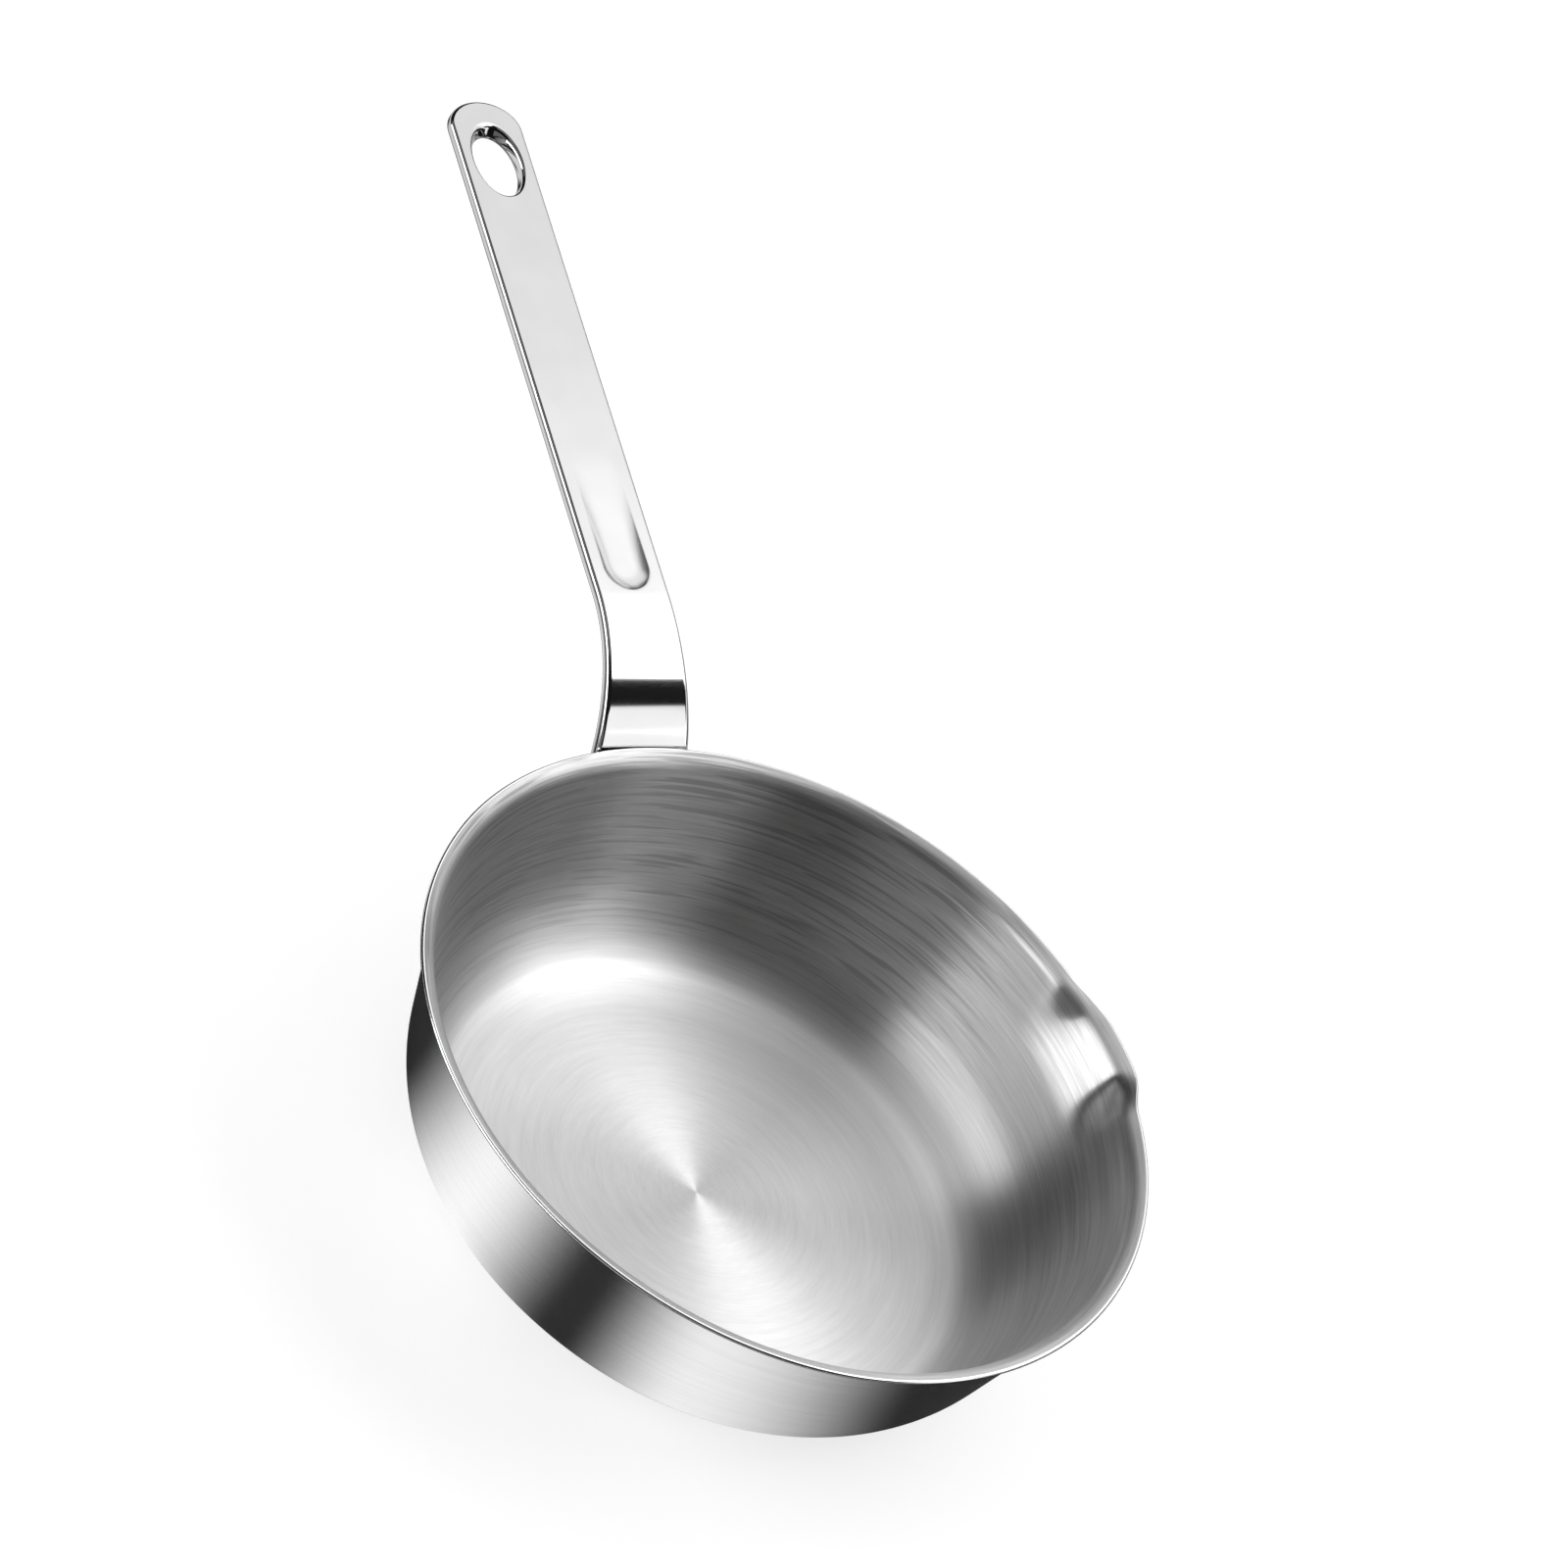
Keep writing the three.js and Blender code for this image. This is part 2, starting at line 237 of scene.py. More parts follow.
# A closed outline turned about the vertical axis. It starts and ends on the axis.
def revolve(outline, zones, facets):
    angles = 2 * math.pi * np.arange(facets) / facets
    rings = outline[1:-1]
    points = np.empty((len(rings), facets, 3))
    points[..., 0] = rings[:, :1] * np.cos(angles)
    points[..., 1] = rings[:, :1] * np.sin(angles)
    points[..., 2] = rings[:, 1:]
    faces = []
    face_zones = []
    first, last = len(rings) * facets, len(rings) * facets + 1
    for i in range(facets):
        j = (i + 1) % facets
        faces.append((first, j, i))
        face_zones.append(zones[0])
        faces.append((last, (len(rings) - 1) * facets + i, (len(rings) - 1) * facets + j))
        face_zones.append(zones[-1])
        for ring in range(len(rings) - 1):
            a, b = ring * facets, (ring + 1) * facets
            faces.append((a + i, a + j, b + j, b + i))
            face_zones.append(zones[ring + 1])
    ends = np.array([[0, 0, outline[0][1]], [0, 0, outline[-1][1]]])
    return np.concatenate([points.reshape(-1, 3), ends]), faces, face_zones


# The middle of the pan's sheet
wall_heading = quarter - wall_flare
corner = [arc(corner_radius + sheet / 2, wall_heading)]
lip = [arc(lip_bend, lip_slope - wall_heading), straight(lip_flat)]
corner_span = follow((0, 0, 0), corner, length_of(corner))
lip_span = follow((0, 0, wall_heading), lip, length_of(lip))
wall_length = (pan_depth - corner_span[1] - lip_span[1]) / math.sin(wall_heading)
wall_reach = wall_length * math.cos(wall_heading)
floor_radius = float(rim_radius - sheet / 2 - lip_span[0] - wall_reach - corner_span[0])
cap_radius = floor_radius - base_inset
disc_bottom = cap_sheet + bond_line
disc_top = disc_bottom + disc_thickness
pan_bottom = disc_top + bond_line
rim_height = pan_bottom + sheet + pan_depth
pan_start = (0.0, pan_bottom + sheet / 2, 0.0)
to_wall_top = [straight(floor_radius), *corner, straight(float(wall_length))]
pan_moves = [*to_wall_top, *lip]
wall_top = follow(pan_start, pan_moves, length_of(to_wall_top))
lip_end = follow(pan_start, pan_moves, length_of(pan_moves))


# Moves the wall outwards and the lip downwards about the middle of the spout.
def press_spout(points):
    radius = np.hypot(points[:, 0], points[:, 1])
    sideways = np.abs(np.arctan2(points[:, 0], -points[:, 1])) * rim_radius
    across = smoothstep(spout_width / 2 - sideways, 0, spout_flank)
    upwards = soft_ramp(points[:, 2] - rim_height + spout_height, spout_crease)
    upwards = upwards / soft_ramp(spout_height, spout_crease)
    push = across * upwards
    stretch = 1 + spout_reach * push / np.maximum(radius, mm)
    moved = points * np.stack([stretch, stretch, np.ones_like(stretch)], -1)
    moved[:, 2] -= spout_dip * push * upwards
    return moved


def pan_mesh(facets=352, edge_steps=8):
    steps = [16, 24, 24, 12, 2]
    section = follow(pan_start, pan_moves, stations(pan_moves, steps))
    outside = beside(section, -sheet / 2)
    inside = beside(section, sheet / 2)[::-1]
    heading = float(lip_end[2])
    turn = np.linspace(heading - quarter, heading + quarter, edge_steps + 1)
    edge = arc_points(beside(lip_end, 0), sheet / 2, turn)
    outline = np.concatenate([outside, edge[1:-1], inside])
    sheet_steps = sum(steps)
    zones = [1] * sheet_steps + [2] * edge_steps + [0] * sheet_steps
    points, faces, face_zones = revolve(outline, zones, facets)
    return press_spout(points), faces, face_zones


def cup_corner(radius, bottom, rounding, steps=8):
    turn = np.linspace(-quarter, 0, steps + 1)
    return arc_points((radius - rounding, bottom + rounding), rounding, turn)


def cap_mesh(facets=192, circles=12):
    outside = cup_corner(cap_radius, 0, cap_edge)
    inside = cup_corner(cap_radius - cap_sheet, cap_sheet, cap_edge - cap_sheet)[::-1]
    radii = np.linspace(0, cap_radius - cap_edge, circles, endpoint=False)
    rings = np.stack([radii, np.zeros(circles)], -1)
    top = [[cap_radius, disc_top], [cap_radius - cap_sheet, disc_top]]
    outline = np.concatenate([rings, outside, top, inside, [[0, cap_sheet]]])
    return revolve(outline, [0] * (len(outline) - 1), facets)


def disc_mesh(facets=192):
    radius = cap_radius - cap_sheet - disc_clearance
    side = cup_corner(radius, disc_bottom, cap_edge - cap_sheet)
    outline = np.concatenate([[[0, disc_bottom]], side, [[radius, disc_top], [0, disc_top]]])
    return revolve(outline, [0] * (len(outline) - 1), facets)


# The face of the handle's strip that lies on the wall and becomes the top of the grip
tab_point = beside(wall_top, -(sheet / 2 + weld_gap))
neck_point = beside((lip_end[0], lip_end[1], neck_slope), -(sheet / 2 + lip_clearance))
root_point = crossing(tab_point, wall_heading, neck_point, neck_slope)
root_turn = wall_heading - neck_slope
root_tangent = root_bend * math.tan(root_turn / 2)
tab_run = tab_length - root_tangent
neck_run = float(np.linalg.norm(root_point - neck_point)) - root_tangent
tab_start = (
    float(root_point[0] - tab_length * math.cos(wall_heading)),
    float(root_point[1] - tab_length * math.sin(wall_heading)),
    wall_heading,
)
root = [straight(tab_run), arc(root_bend, -root_turn)]
neck = [straight(neck_run), arc(neck_bend, grip_slope - neck_slope)]
handle_moves = [*root, *neck, straight(grip_length)]
neck_start = length_of(root) + neck_run
grip_start = length_of([*root, *neck])
handle_length = grip_start + grip_length


# Places in the flat strip: along it, across it and up from its face, carried to where the bends put them.
def bent(flat):
    along, across, up = np.moveaxis(np.asarray(flat, float), -1, 0)
    x, z, heading = follow(tab_start, handle_moves, along)
    curl = math.sin(wall_heading) / x * (1 - smoothstep(along, tab_run, neck_start))
    curl = np.maximum(curl, 1e-6)
    angle = across * curl
    sideways = np.sin(angle) * (1 / curl - up)
    lift = (1 - np.cos(angle)) / curl + up * np.cos(angle)
    return np.stack([x - lift * np.sin(heading), sideways, z + lift * np.cos(heading)], -1)


def stand_back(radius, distance):
    return radius - np.sqrt(np.maximum(radius**2 - np.maximum(radius - distance, 0) ** 2, 0))


def half_width(along):
    widening = smoothstep(grip_start - along, 0, grip_start)
    side = (grip_width + (root_width - grip_width) * widening) / 2
    return side - stand_back(tab_corner, along)


# How deep the groove is pressed into the strip's face.
def groove(along, across):
    reach = groove_width / 2
    x = along - grip_start
    end = reach - np.hypot(x - reach, across)
    inward = np.where(x < reach, end, reach - np.abs(across))
    fade = 1 - smoothstep(x, 0, groove_length)
    rise = np.clip(inward / groove_wall, 0, 1)
    rim = smoothstep(inward, -groove_rim, groove_rim)
    return groove_depth * fade * rim * (1 - (1 - rise) ** 2)


# How deep the spot welds dent the strip's back.
def weld_dents(along, across):
    depth = np.zeros_like(along)
    for row in (-1, 1):
        for column in (-1, 1):
            away = np.hypot(along - (tab_run + row * weld_pitch) / 2, across - column * weld_pitch / 2)
            depth = np.maximum(depth, weld_depth * smoothstep(weld_width / 2 - away, 0, weld_wall))
    return depth


across_steps = 64
round_steps = 6
side_steps = 2
spoke_steps = 12
corner_rows = 12
tab_row = 0.5 * mm
neck_rows = 40
root_rows = 12
groove_row = 0.25 * mm
grip_row = 0.6 * mm
tip_side_rows = 40
tip_turn_rows = 72


# Round the strip's edge, from its face to its back: how far outwards and how far up.
def edge_profile(edge, thickness):
    turn = np.linspace(0, quarter, round_steps + 1)
    upper = np.stack([edge * np.sin(turn), edge * (np.cos(turn) - 1)], -1)
    side = np.linspace(-edge, edge - thickness, side_steps + 1)[1:-1]
    middle = np.stack([np.full_like(side, edge), side], -1)
    lower = np.stack([upper[::-1, 0], -thickness - upper[::-1, 1]], -1)
    return np.concatenate([upper, middle, lower])


# One ring round the flat strip: its face from one side to the other, an edge, its back and the other edge.
def strip_ring(along):
    inset = float(stand_back(plate_edge, along))
    half = float(half_width(np.float64(along)))
    edge = max(plate_edge - inset, plate_edge / 10)
    flat = half - edge
    face = np.linspace(flat, -flat, across_steps + 1)
    profile = edge_profile(edge, plate - 2 * inset)
    here = np.full_like(face, along)
    top = np.stack([here, face, -inset - groove(here, face)], -1)
    back = np.stack([here, -face, inset - plate + weld_dents(here, -face)], -1)
    sides = [
        np.stack([np.full(len(profile), along), sign * (flat + profile[:, 0]), profile[:, 1] - inset], -1)
        for sign in (-1, 1)
    ]
    return np.concatenate([top, sides[0][1:-1], back, sides[1][::-1][1:-1]])


def strip_rows(end):
    turn = np.linspace(0, quarter, corner_rows + 1)
    rows = [
        tab_corner * (1 - np.cos(turn)),
        np.arange(tab_corner + tab_row, tab_run, tab_row),
        np.linspace(tab_run, neck_start, root_rows),
        np.linspace(neck_start, grip_start - mm, neck_rows)[1:],
        np.arange(grip_start - 3 * groove_row, grip_start + groove_width, groove_row),
        np.arange(grip_start + groove_width, end, grip_row),
        [end],
    ]
    return np.concatenate(rows)


# The tip: a net of spokes from the hole's edge to the tip's outline and to the strip's last row.
def tip_spokes(start):
    flat = grip_width / 2 - plate_edge
    straight_end = handle_length - tip_length
    row = np.linspace(flat, -flat, across_steps + 1)
    side = np.linspace(start, straight_end, tip_side_rows + 1)[1:]
    turn = np.linspace(0, math.pi, tip_turn_rows + 1)[1:-1]
    oval = np.stack([tip_length * np.sin(turn), -grip_width / 2 * np.cos(turn)], -1)
    normal = np.stack([np.sin(turn) / tip_length, -np.cos(turn) / (grip_width / 2)], -1)
    normal /= np.linalg.norm(normal, axis=1, keepdims=True)
    rim = oval - plate_edge * normal + np.array([straight_end, 0])
    ones, none = np.ones_like(side), np.zeros_like(side)
    outline = [
        np.stack([np.full_like(row, start), row], -1),
        np.stack([side, -flat * ones], -1),
        rim,
        np.stack([side[::-1], flat * ones], -1),
        np.array([[start, flat]]),
    ]
    outward = [
        np.tile([0.0, -1.0], (len(row), 1)),
        np.stack([none, -ones], -1),
        normal,
        np.stack([none, ones], -1),
        np.array([[0.0, 1.0]]),
    ]
    return np.concatenate(outline), np.concatenate(outward), len(row)


# The hole's oval at some height, seen from its middle in the directions of some points round it. It narrows
# towards the strip's back, away from the tip.
def hole_oval(points, grow, up):
    size = np.array([hole_length, hole_width])
    centre = np.array([handle_length - hole_setback, 0])
    away = (points - centre) / size
    angle = np.arctan2(away[:, 1], away[:, 0])
    half = size * (1 + hole_taper * up / plate) / 2
    middle = centre + np.array([half[0] - hole_length / 2, 0])
    return middle + (half + grow) * np.stack([np.cos(angle), np.sin(angle)], -1)


def with_height(points, up):
    return np.concatenate([points, np.full((len(points), 1), up)], 1)


def handle_mesh():
    start = handle_length - hole_setback - hole_length / 2 - hole_margin
    rings = [strip_ring(along) for along in strip_rows(start)]
    count = len(rings[0])
    points = list(np.concatenate(rings))
    faces = []
    for ring in range(len(rings) - 1):
        a, b = ring * count, (ring + 1) * count
        for i in range(count):
            j = (i + 1) % count
            faces.append((a + i, a + j, b + j, b + i))
    faces.append(tuple(range(count - 1, -1, -1)))

    outline, outward, row_length = tip_spokes(start)
    spoke = np.linspace(0, 1, spoke_steps + 1)
    rounding = np.linspace(0, quarter, round_steps + 1)
    mouth = [(hole_edge * (1 - math.sin(a)), -hole_edge * (1 - math.cos(a))) for a in rounding]
    levels = mouth + [(grow, -plate - up) for grow, up in mouth[::-1]]
    inner = [with_height(hole_oval(outline, grow, up), up) for grow, up in levels]
    front, back = (hole_oval(outline, hole_edge, up) for up in (0, -plate))
    upper = [with_height(front + (outline - front) * s, 0) for s in spoke]
    lower = [with_height(back + (outline - back) * s, -plate) for s in spoke]
    rim = [with_height(outline + outward * out, up) for out, up in edge_profile(plate_edge, plate)]
    lines = [*lower[::-1], *inner[::-1][1:], *upper[1:]]
    net = np.stack(lines, 1)
    edge_net = np.stack(rim, 1)
    base = len(points)
    points += list(net.reshape(-1, 3))
    across = net.shape[1]
    for k in range(len(outline) - 1):
        for m in range(across - 1):
            a = base + k * across + m
            faces.append((a, a + 1, a + across + 1, a + across))
    base = len(points)
    points += list(edge_net.reshape(-1, 3))
    across = edge_net.shape[1]
    for k in range(row_length - 1, len(outline) - 1):
        for m in range(across - 1):
            a = base + k * across + m
            faces.append((a, a + 1, a + across + 1, a + across))
    return bent(np.array(points)), faces, [0] * len(faces)


# Joins the seams of a piece's patches and turns all its faces outwards.
def close_seams(piece):
    shape = bmesh.new()
    shape.from_mesh(piece.data)
    bmesh.ops.remove_doubles(shape, verts=shape.verts, dist=1e-6)
    loose = [v for v in shape.verts if not v.link_faces]
    bmesh.ops.delete(shape, geom=loose, context="VERTS")
    bmesh.ops.recalc_face_normals(shape, faces=shape.faces)
    shape.to_mesh(piece.data)
    shape.free()
    piece.data.update()


# Materials
def node_of(tree, kind, **values):
    node = tree.nodes.new(kind)
    for name, value in values.items():
        setattr(node, name, value)
    return node


def math_node(tree, operation, a, b=0.0):
    node = node_of(tree, "ShaderNodeMath", operation=operation)
    for socket, value in zip(node.inputs, (a, b)):
        if isinstance(value, (int, float)):
            socket.default_value = value
        else:
            tree.links.new(value, socket)
    return node.outputs[0]


def noise(tree, vector, scale, detail, rough):
    node = node_of(tree, "ShaderNodeTexNoise")
    node.inputs["Scale"].default_value = scale
    node.inputs["Detail"].default_value = detail
    node.inputs["Roughness"].default_value = rough
    tree.links.new(vector, node.inputs["Vector"])
    return node.outputs[0]


# Carries a value from one range to another, if not told otherwise from the range that noise mostly lies in.
def ranged(tree, value, low, high, from_low=0.3, from_high=0.7):
    node = node_of(tree, "ShaderNodeMapRange")
    tree.links.new(value, node.inputs["Value"])
    limits = {"From Min": from_low, "From Max": from_high, "To Min": low, "To Max": high}
    for name, number in limits.items():
        node.inputs[name].default_value = number
    return node.outputs[0]


def vector_node(tree, operation, a, b=None):
    node = node_of(tree, "ShaderNodeVectorMath", operation=operation)
    for socket, value in zip(node.inputs, (a, b)):
        if isinstance(value, tuple):
            socket.default_value = value
        elif value is not None:
            tree.links.new(value, socket)
    return node.outputs["Value" if operation == "LENGTH" else "Vector"]


# Where a point of the surface is, with its height, radius and direction about the vertical axis.
class Place:
    def __init__(self, tree):
        self.tree = tree
        self.point = node_of(tree, "ShaderNodeTexCoord").outputs["Object"]
        split = node_of(tree, "ShaderNodeSeparateXYZ")
        tree.links.new(self.point, split.inputs[0])
        self.x = split.outputs["X"]
        self.y = split.outputs["Y"]
        self.height = split.outputs["Z"]
        flat = vector_node(tree, "MULTIPLY", self.point, (1, 1, 0))
        self.radius = vector_node(tree, "LENGTH", flat)
        self.outward = vector_node(tree, "NORMALIZE", flat)
        self.round = vector_node(tree, "CROSS_PRODUCT", (0, 0, 1), self.outward)

    # Noise drawn out into rings: so many to a metre, and so many breaks round the axis.
    def rings(self, density, breaks, detail, rough):
        tree = self.tree
        along = math_node(tree, "MULTIPLY", math_node(tree, "ADD", self.radius, self.height), density)
        lift = node_of(tree, "ShaderNodeCombineXYZ")
        tree.links.new(along, lift.inputs["Z"])
        turn = vector_node(tree, "MULTIPLY", self.outward, (breaks, breaks, breaks))
        return noise(tree, vector_node(tree, "ADD", turn, lift.outputs[0]), 1.0, detail, rough)


def metal(name, anisotropy):
    material = bpy.data.materials.new(name)
    material.use_nodes = True
    tree = material.node_tree
    shader = tree.nodes["Principled BSDF"]
    shader.inputs["Metallic"].default_value = 1
    shader.inputs["Anisotropic"].default_value = anisotropy
    return material, tree, shader


def tint(tree, shader, colour, shade):
    tone = node_of(tree, "ShaderNodeMixRGB", blend_type="MULTIPLY")
    tone.inputs[0].default_value = 1
    tone.inputs[1].default_value = (*colour, 1)
    tree.links.new(shade, tone.inputs[2])
    tree.links.new(tone.outputs[0], shader.inputs["Base Color"])


def emboss(tree, shader, height, strength, distance):
    bump = node_of(tree, "ShaderNodeBump")
    bump.inputs["Strength"].default_value = strength
    bump.inputs["Distance"].default_value = distance
    tree.links.new(height, bump.inputs["Height"])
    tree.links.new(bump.outputs[0], shader.inputs["Normal"])


def weighted(tree, a, b, share):
    rest = math_node(tree, "MULTIPLY", a, 1 - share)
    return math_node(tree, "ADD", rest, math_node(tree, "MULTIPLY", b, share))


# One within a band of values, fading to zero at both its ends.
def band(tree, value, rise, fall):
    risen = ranged(tree, value, 0.0, 1.0, *rise)
    return math_node(tree, "MULTIPLY", risen, ranged(tree, value, 1.0, 0.0, *fall))


# Steel worked in circles about the vertical axis.
def turned_steel(name, colour, roughness, anisotropy, grain, relief, contrast):
    material, tree, shader = metal(name, anisotropy)
    shader.inputs["Anisotropic Rotation"].default_value = across_brushing
    place = Place(tree)
    fine = place.rings(grain, 2.0, 4.0, 0.65)
    coarse = place.rings(grain / 4, 0.8, 2.0, 0.5)
    lines = weighted(tree, fine, coarse, coarse_share)
    tint(tree, shader, colour, ranged(tree, lines, *contrast))
    tree.links.new(ranged(tree, lines, roughness * 1.12, roughness * 0.9), shader.inputs["Roughness"])
    emboss(tree, shader, lines, relief, brush_depth)
    tree.links.new(place.round, shader.inputs["Tangent"])
    return material


# The pan's inside: brushed in circles, scored near the handle, quieter on the floor, duller on the lip, with
# painted light in its colour on the floor, the floor's edge and the lip.
def brushed_inside(name, colour, roughness, anisotropy):
    material, tree, shader = metal(name, anisotropy)
    shader.inputs["Anisotropic Rotation"].default_value = across_brushing
    place = Place(tree)
    floor_top = pan_bottom + sheet
    wall = ranged(tree, place.height, 0.0, 1.0, *quiet_floor)
    loud = ranged(tree, wall, quiet_floor_share, 1.0, 0.0, 1.0)
    lines = weighted(tree, place.rings(*inside_fine), place.rings(*inside_coarse), coarse_share)
    lines = math_node(tree, "MULTIPLY", math_node(tree, "SUBTRACT", lines, 0.5), loud)
    scored = ranged(tree, place.rings(*inside_scoring), 0.0, 1.0, *scoring_cut)
    side = ranged(tree, place.x, 0.0, 1.0, *scored_side)
    scored = math_node(tree, "MULTIPLY", scored, math_node(tree, "MULTIPLY", wall, side))
    lines = math_node(tree, "SUBTRACT", lines, math_node(tree, "MULTIPLY", scored, scoring_share))
    shade = ranged(tree, lines, *inside_contrast)
    # Painted light in the colour: the floor lifted, partly by its finer finish and partly as painted
    # highlight; a painted light line at the floor's edge; a painted highlight along the lip.
    over_floor = math_node(tree, "SUBTRACT", place.height, floor_top)
    below_rim = math_node(tree, "SUBTRACT", rim_height, place.height)
    edge = band(tree, over_floor, floor_edge_start, floor_edge_end)
    tones = (
        ranged(tree, over_floor, floor_finish_and_highlight_tone, 1.0, *floor_finish_and_highlight_fade),
        ranged(tree, edge, 1.0, floor_edge_highlight, 0.0, 1.0),
        ranged(tree, below_rim, 1.0, lip_highlight, *lip_highlight_below),
    )
    for tone in tones:
        shade = math_node(tree, "MULTIPLY", shade, tone)
    tint(tree, shader, colour, shade)
    rough = ranged(tree, lines, roughness * 1.12, roughness * 0.9, -0.2, 0.2)
    lip_finish = ranged(tree, below_rim, 1.0, lip_dullness, *lip_finish_below)
    wall_finish = ranged(tree, wall, 1.0, wall_smoothness, 0.0, 1.0)
    rough = math_node(tree, "MULTIPLY", rough, math_node(tree, "MULTIPLY", lip_finish, wall_finish))
    tree.links.new(rough, shader.inputs["Roughness"])
    emboss(tree, shader, lines, inside_relief, brush_depth)
    tree.links.new(place.round, shader.inputs["Tangent"])
    return material


# Polished plate with faint lengthwise scratches, duller in the groove, with painted shade greying it towards
# the tip.
def polished_steel(name, colour, roughness):
    material, tree, shader = metal(name, 0.0)
    place = Place(tree)
    lines = noise(tree, vector_node(tree, "MULTIPLY", place.point, scratch_spread), 1.0, 2.0, 0.5)
    clouds = noise(tree, place.point, cloud_spread, 2.0, 0.5)
    # Painted shade: the colour greyer towards the tip.
    tip_painted_shade = ranged(tree, place.x, 1.0, tip_painted_shade_tone, *tip_painted_shade_span)
    tint(tree, shader, colour, math_node(tree, "MULTIPLY", tip_painted_shade, ranged(tree, clouds, 0.97, 1.02)))
    aside = math_node(tree, "ABSOLUTE", place.y)
    pressed = band(tree, place.x, groove_dull_start, groove_dull_end)
    pressed = math_node(tree, "MULTIPLY", pressed, ranged(tree, aside, 1.0, 0.0, *groove_dull_side))
    rough = ranged(tree, lines, roughness * 1.03, roughness * 0.98)
    rough = math_node(tree, "MULTIPLY", rough, ranged(tree, pressed, 1.0, groove_dullness, 0.0, 1.0))
    tree.links.new(rough, shader.inputs["Roughness"])
    emboss(tree, shader, lines, scratch_relief, scratch_depth)
    return material


inside_steel = brushed_inside("pan_inside", (0.52, 0.52, 0.52), 0.42, 0.9)
outside_steel = turned_steel("pan_outside", (0.84, 0.84, 0.84), 0.2, 0.85, 2600, 0.03, (0.95, 1.03))
edge_steel = turned_steel("pan_edge", (0.84, 0.84, 0.84), 0.14, 0.3, 2600, 0.03, (0.95, 1.03))
cap_steel = turned_steel("base_cap", (0.62, 0.62, 0.62), 0.38, 0.9, 1800, 0.3, (0.85, 1.05))
disc_metal = turned_steel("spreader_disc", (0.72, 0.73, 0.74), 0.5, 0.6, 1400, 0.3, (0.88, 1.05))
handle_steel = polished_steel("handle", (0.6, 0.6, 0.6), 0.08)

pan_finishes = [inside_steel, outside_steel, edge_steel]
pan = make_piece("pan_body_fine", *pan_mesh(), pan_finishes, "pan_body", "pan_steel")
cap = make_piece("base_cap_fine", *cap_mesh(), [cap_steel], "base_cap", "cap_steel")
disc = make_piece("spreader_disc_fine", *disc_mesh(), [disc_metal], "spreader_disc", "disc_aluminium")
handle = make_piece("handle_fine", *handle_mesh(), [handle_steel], "handle", "handle_steel")
for piece in (pan, cap, disc, handle):
    close_seams(piece)

# Camera
camera_place = Vector((-0.6306, 0.7254, 0.8952))
camera_aim = Vector((0.0702, -0.0299, 0.0496))
camera_roll = 33.71 * degrees
camera_sensor = 36
camera_lens = 147.8
lens = bpy.data.cameras.new("camera")
lens.sensor_width = camera_sensor
lens.lens = camera_lens
camera = bpy.data.objects.new("camera", lens)
bpy.context.scene.collection.objects.link(camera)
camera.location = camera_place
aim = (camera_aim - camera_place).to_track_quat("-Z", "Y").to_matrix()
camera.rotation_euler = (aim @ Matrix.Rotation(camera_roll, 3, "Z")).to_euler()
bpy.context.scene.camera = camera


# Studio: a pale floor, soft lamps, and glowing floor rings of painted reflection that only the steel mirrors
def plain_material(name, grey):
    material = bpy.data.materials.new(name)
    material.use_nodes = True
    shader = material.node_tree.nodes["Principled BSDF"]
    shader.inputs["Base Color"].default_value = (grey, grey, grey, 1)
    shader.inputs["Roughness"].default_value = 0.9
    shader.inputs["Specular IOR Level"].default_value = 0.1
    return material


camera_azimuth = 131 * degrees
target = Vector((0, 0, 30 * mm))
half_floor = 6
floor_grey = 0.45
floor_glow = 0.72
floor_level = -0.3 * mm
ring_level = -0.1 * mm
ring_glow = 1.12
ring_edges = (0.03, 0.058, 0.12, 0.42)
world_glow = 0.01


# A place round the pan: azimuth from the camera's side, anticlockwise, and elevation, both in degrees.
def around(azimuth, elevation, distance):
    a = camera_azimuth + azimuth * degrees
    e = elevation * degrees
    return Vector((math.cos(a) * math.cos(e), math.sin(a) * math.cos(e), math.sin(e))) * distance


def stage_sheet(name, corners, material, faces=None):
    mesh = bpy.data.meshes.new(name)
    mesh.from_pydata(corners, [], faces or [tuple(range(len(corners)))])
    mesh.materials.append(material)
    made = bpy.data.objects.new(name, mesh)
    bpy.context.scene.collection.objects.link(made)
    return made


# A soft lamp aimed at the pan. Its glow is how bright the steel mirrors it, where 1 is white. It may fade
# across its width, from one share of the glow to another.
def lamp(name, azimuth, elevation, distance, size, glow, fade=None):
    light = bpy.data.lights.new(name, "AREA")
    light.shape = "RECTANGLE"
    light.size, light.size_y = size
    light.energy = glow * math.pi * size[0] * size[1]
    made = bpy.data.objects.new(name, light)
    bpy.context.scene.collection.objects.link(made)
    made.location = target + around(azimuth, elevation, distance)
    made.rotation_euler = (target - made.location).to_track_quat("-Z", "Y").to_euler()
    if fade:
        light.use_nodes = True
        tree = light.node_tree
        place = node_of(tree, "ShaderNodeNewGeometry").outputs["Parametric"]
        across = node_of(tree, "ShaderNodeSeparateXYZ")
        tree.links.new(place, across.inputs[0])
        faded = ranged(tree, across.outputs["X"], *fade, 0.0, 1.0)
        tree.links.new(faded, tree.nodes["Emission"].inputs["Strength"])


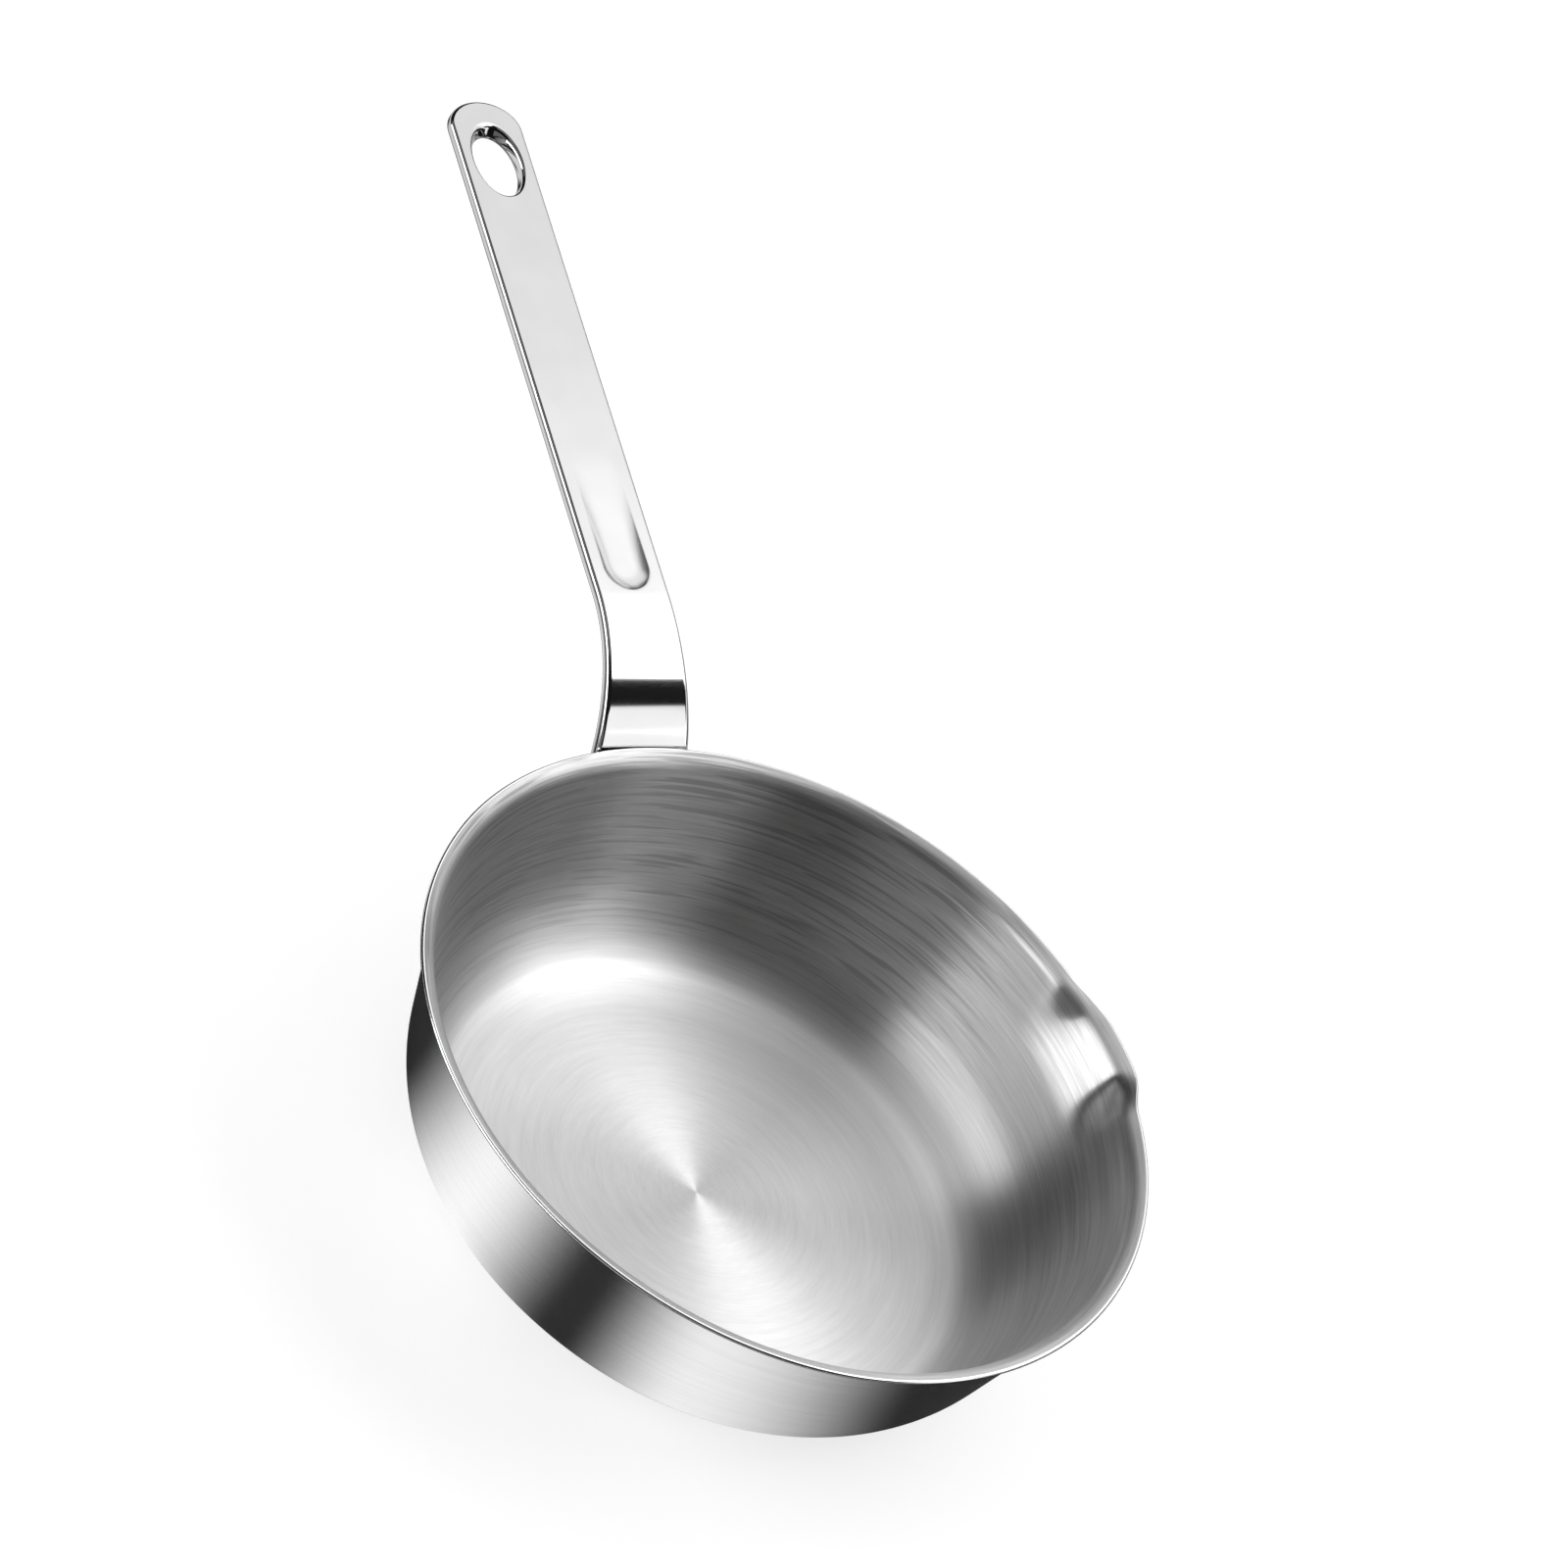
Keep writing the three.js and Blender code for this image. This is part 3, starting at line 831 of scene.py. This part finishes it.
# A glowing ring on the floor that only the steel mirrors, a painted reflection: dark for painted shade, with
# soft pale fans of painted light given as azimuth and brightness.
def ring_card(name, inner, outer, glow, fans, facets=72):
    turns = [2 * math.pi * i / facets for i in range(facets)]
    corners = [(r * math.cos(a), r * math.sin(a), 0) for r in (inner, outer) for a in turns]
    faces = [(i, (i + 1) % facets, facets + (i + 1) % facets, facets + i) for i in range(facets)]
    material = plain_material(name, 0.01)
    tree = material.node_tree
    radial = node_of(tree, "ShaderNodeTexGradient", gradient_type="RADIAL")
    tree.links.new(node_of(tree, "ShaderNodeTexCoord").outputs["Object"], radial.inputs[0])
    ramp = node_of(tree, "ShaderNodeValToRGB")
    ramp.color_ramp.interpolation = "EASE"
    stops = ramp.color_ramp.elements
    for azimuth, bright in fans:
        stops.new(0.5 + azimuth / 360).color = (bright, bright, bright, 1)
    stops.remove(stops[0])
    stops.remove(stops[-1])
    tree.links.new(radial.outputs[0], ramp.inputs[0])
    shader = tree.nodes["Principled BSDF"]
    tree.links.new(ramp.outputs[0], shader.inputs["Emission Color"])
    shader.inputs["Emission Strength"].default_value = glow
    card = stage_sheet(name, corners, material, faces)
    card.rotation_euler.z = camera_azimuth
    card.location.z = ring_level
    card.visible_camera = False
    card.visible_diffuse = False
    card.visible_shadow = False


# A pale floor that is white to the camera and in the steel, and keeps the shadow.
def white_floor(name, grey, glow):
    material = plain_material(name, grey)
    tree = material.node_tree
    path = node_of(tree, "ShaderNodeLightPath")
    seen = math_node(tree, "MAXIMUM", path.outputs["Is Camera Ray"], path.outputs["Is Glossy Ray"])
    seen = math_node(tree, "MAXIMUM", seen, path.outputs["Is Transmission Ray"])
    shader = tree.nodes["Principled BSDF"]
    shader.inputs["Emission Color"].default_value = (1, 1, 1, 1)
    tree.links.new(math_node(tree, "MULTIPLY", seen, glow), shader.inputs["Emission Strength"])
    return material


floor_corners = [(x * half_floor, y * half_floor, 0) for x, y in ((-1, -1), (1, -1), (1, 1), (-1, 1))]
floor = stage_sheet("floor", floor_corners, white_floor("floor_paint", floor_grey, floor_glow))
floor.location.z = floor_level

# The rings' fans are painted reflections of light and shade round the pan; the dark foot ring is a painted
# reflection of the shade round the pan's foot.
foot_fans = [(-179, 0.1), (179, 0.1)]
wall_fans = [(-179, 0.25), (-156, 0.8), (-128, 0.01), (-74, 0.01), (-38, 1.0), (-9, 0.02), (-5, 0.02)]
wall_fans += [(20, 0.92), (70, 0.01), (122, 0.01), (150, 0.8), (179, 0.25)]
handle_fans = [(-179, 0.3), (-150, 0.6), (-130, 0.03), (-114, 1.0), (-98, 0.0)]
handle_fans += [(118, 0.02), (150, 0.6), (179, 0.3)]
rings = {"foot": foot_fans, "near": wall_fans, "far": handle_fans}
for (name, fans), inner, outer in zip(rings.items(), ring_edges, ring_edges[1:]):
    ring_card("painted_reflection_ring_" + name, inner, outer, ring_glow, fans)

lamp("back", 157, 58, 1.5, (2.1, 1.1), 1.36)
lamp("low", 140, 28, 1.6, (3.6, 0.4), 1.4)
lamp("key", 139, 55, 1.4, (1.25, 0.82), 2.2, fade=(1.0, 0.0))
lamp("front_left", 306, 21, 1.4, (1.6, 0.55), 4.4, fade=(1.4, 0.95))
lamp("front", 0, 6.5, 3, (2.6, 0.55), 0.55, fade=(1.0, 0.2))
lamp("right", 85, 22, 1.4, (0.36, 0.67), 1.5)
lamp("top", 0, 88, 1.5, (0.8, 0.8), 0.3)
lamp("between", 176, 33, 1.6, (1.6, 0.35), 0.4)
lamp("left_fill", 288, 52, 1.6, (1.5, 1.0), 0.22)
lamp("front_fill", 12, 24, 2.5, (2.2, 0.9), 0.2)

world = bpy.data.worlds.new("world")
bpy.context.scene.world = world
world.use_nodes = True
background = world.node_tree.nodes["Background"]
background.inputs["Color"].default_value = (1, 1, 1, 1)
background.inputs["Strength"].default_value = world_glow

bpy.context.scene.view_settings.view_transform = "Standard"
